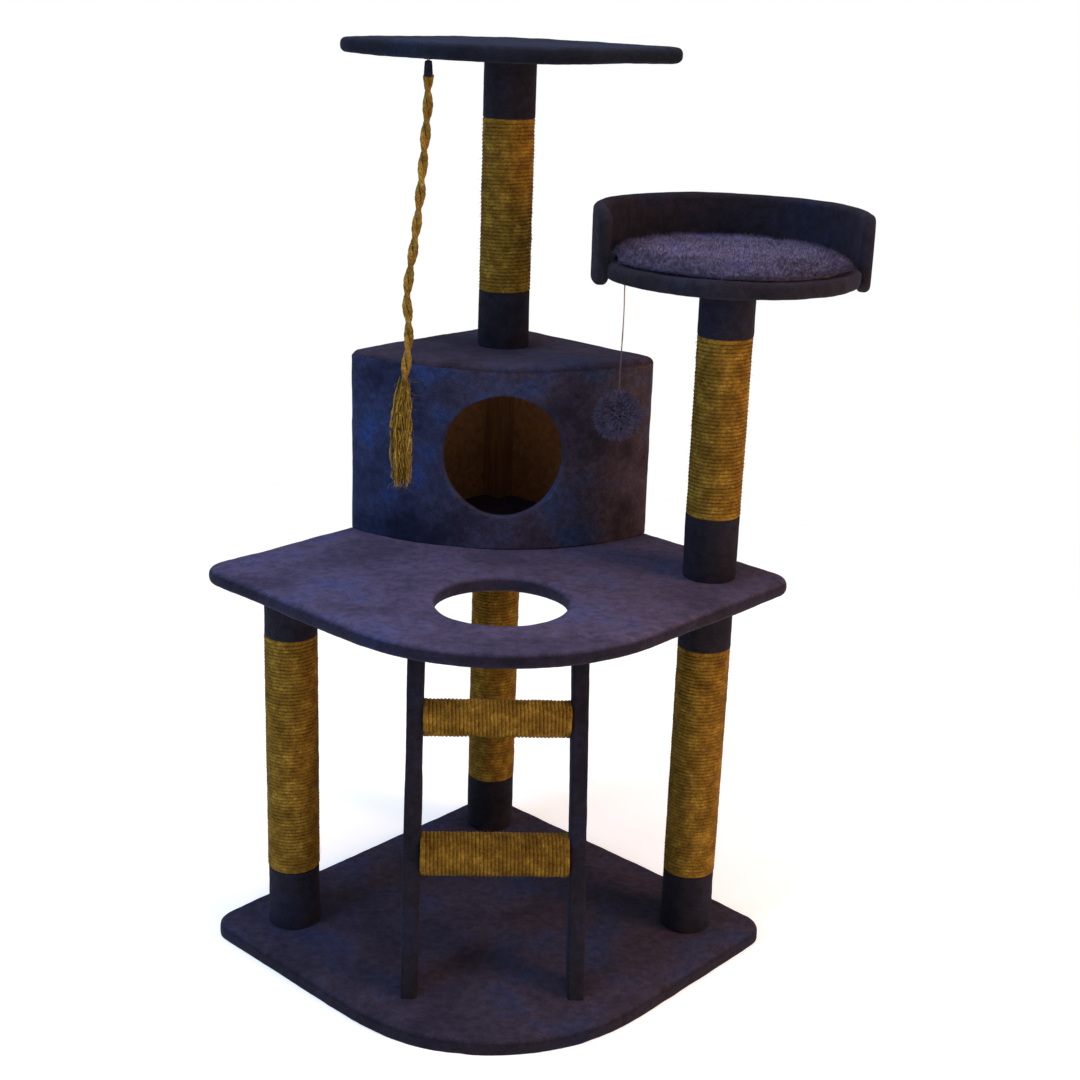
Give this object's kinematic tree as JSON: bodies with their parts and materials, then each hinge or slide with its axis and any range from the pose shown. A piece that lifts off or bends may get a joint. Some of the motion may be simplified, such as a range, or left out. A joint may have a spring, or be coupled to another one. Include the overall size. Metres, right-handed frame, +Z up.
{
  "type": "cat tree",
  "caption": "Corner cat tree: plush-covered platforms on sisal posts, with a condo, a leaning ladder, a round raised bed, a hanging rope and a pompom on elastic.",
  "frame": {"origin": "on the floor, under the centre of the 600 mm square that the base is cut from", "axes": "+Z up; -Y is the front, where the ladder stands; +Y points to the back corner shared by base, platform, condo and perch; +X is the side of the raised bed"},
  "size_m": [0.8924, 0.7138, 1.299],
  "materials": {
    "plush": "short navy plush with a violet sheen",
    "condo_plush": "short navy plush",
    "dark_plush": "near-black navy plush",
    "pad_plush": "deep pile plush",
    "sisal": "wound sisal rope",
    "rope": "loosely twisted sisal strands",
    "elastic": "thin covered elastic cord",
    "pompom": "long soft pile",
    "board": "bare particle board",
    "pine": "bare softwood",
    "post_tube": "spiral-wound paper tube",
    "zinc_steel": "zinc plated"
  },
  "bodies": {
    "frame": {"back_post_lower_cuff": "dark_plush", "back_post_sisal": "sisal", "back_post_tube": "post_tube", "back_post_upper_cuff": "dark_plush", "base_board": "board", "base_cover": "plush", "bed_board": "board", "bed_cover": "dark_plush", "bed_pad": "pad_plush", "bed_post_lower_cuff": "dark_plush", "bed_post_sisal": "sisal", "bed_post_tube": "post_tube", "bed_post_upper_cuff": "dark_plush", "bed_rim": "board", "condo_back_cover": "condo_plush", "condo_corner_post": "pine", "condo_front_cover": "condo_plush", "condo_front_panel": "board", "condo_left_wall": "board", "condo_right_wall": "board", "condo_roof_board": "board", "condo_roof_cover": "plush", "ladder_left_cover": "dark_plush", "ladder_left_rail": "pine", "ladder_right_cover": "dark_plush", "ladder_right_rail": "pine", "left_post_lower_cuff": "dark_plush", "left_post_sisal": "sisal", "left_post_tube": "post_tube", "left_post_upper_cuff": "dark_plush", "lower_rung_sisal": "sisal", "mid_board": "board", "mid_cover": "plush", "post_bolts": "zinc_steel", "post_plugs": "pine", "post_studs": "zinc_steel", "post_washers": "zinc_steel", "right_post_lower_cuff": "dark_plush", "right_post_sisal": "sisal", "right_post_tube": "post_tube", "right_post_upper_cuff": "dark_plush", "rung_cores": "pine", "threaded_inserts": "zinc_steel", "top_board": "board", "top_cover": "plush", "top_post_lower_cuff": "dark_plush", "top_post_sisal": "sisal", "top_post_tube": "post_tube", "top_post_upper_cuff": "dark_plush", "toy_staples": "zinc_steel", "upper_rung_sisal": "sisal", "wood_screws": "zinc_steel"},
    "rope_tab": {"rope_tab": "elastic"},
    "rope": {"rope_sleeve": "dark_plush", "rope": "rope", "rope_tassel": "rope"},
    "string_loop": {"string_loop": "elastic"},
    "pompom_string": {"pompom_string": "elastic"},
    "pompom_ball": {"pompom_ball": "pompom"}
  },
  "joints": [
    {"name": "rope_swing_fore_aft", "type": "hinge", "parent": "frame", "child": "rope_tab", "pos_m": [-0.112, 0.06, 1.2748], "axis": [1, 0, 0], "range_deg": [-35, 5]},
    {"name": "rope_swing_sideways", "type": "hinge", "parent": "rope_tab", "child": "rope", "pos_m": [-0.112, 0.06, 1.2703], "axis": [0, 1, 0], "range_deg": [-18, 35]},
    {"name": "pompom_swing_fore_aft", "type": "hinge", "parent": "frame", "child": "string_loop", "pos_m": [0.157, 0.01, 1.0058], "axis": [1, 0, 0], "range_deg": [-30, 10]},
    {"name": "pompom_swing_sideways", "type": "hinge", "parent": "string_loop", "child": "pompom_string", "pos_m": [0.157, 0.01, 1.0013], "axis": [0, 1, 0], "range_deg": [-12, 30]},
    {"name": "pompom_bounce", "type": "slide", "parent": "pompom_string", "child": "pompom_ball", "axis": [0, 0, -1], "range_m": [0, 0.06], "stiffness_N_per_m": 20, "springref_m": -0.05, "deforming": ["pompom_string"]}
  ]
}
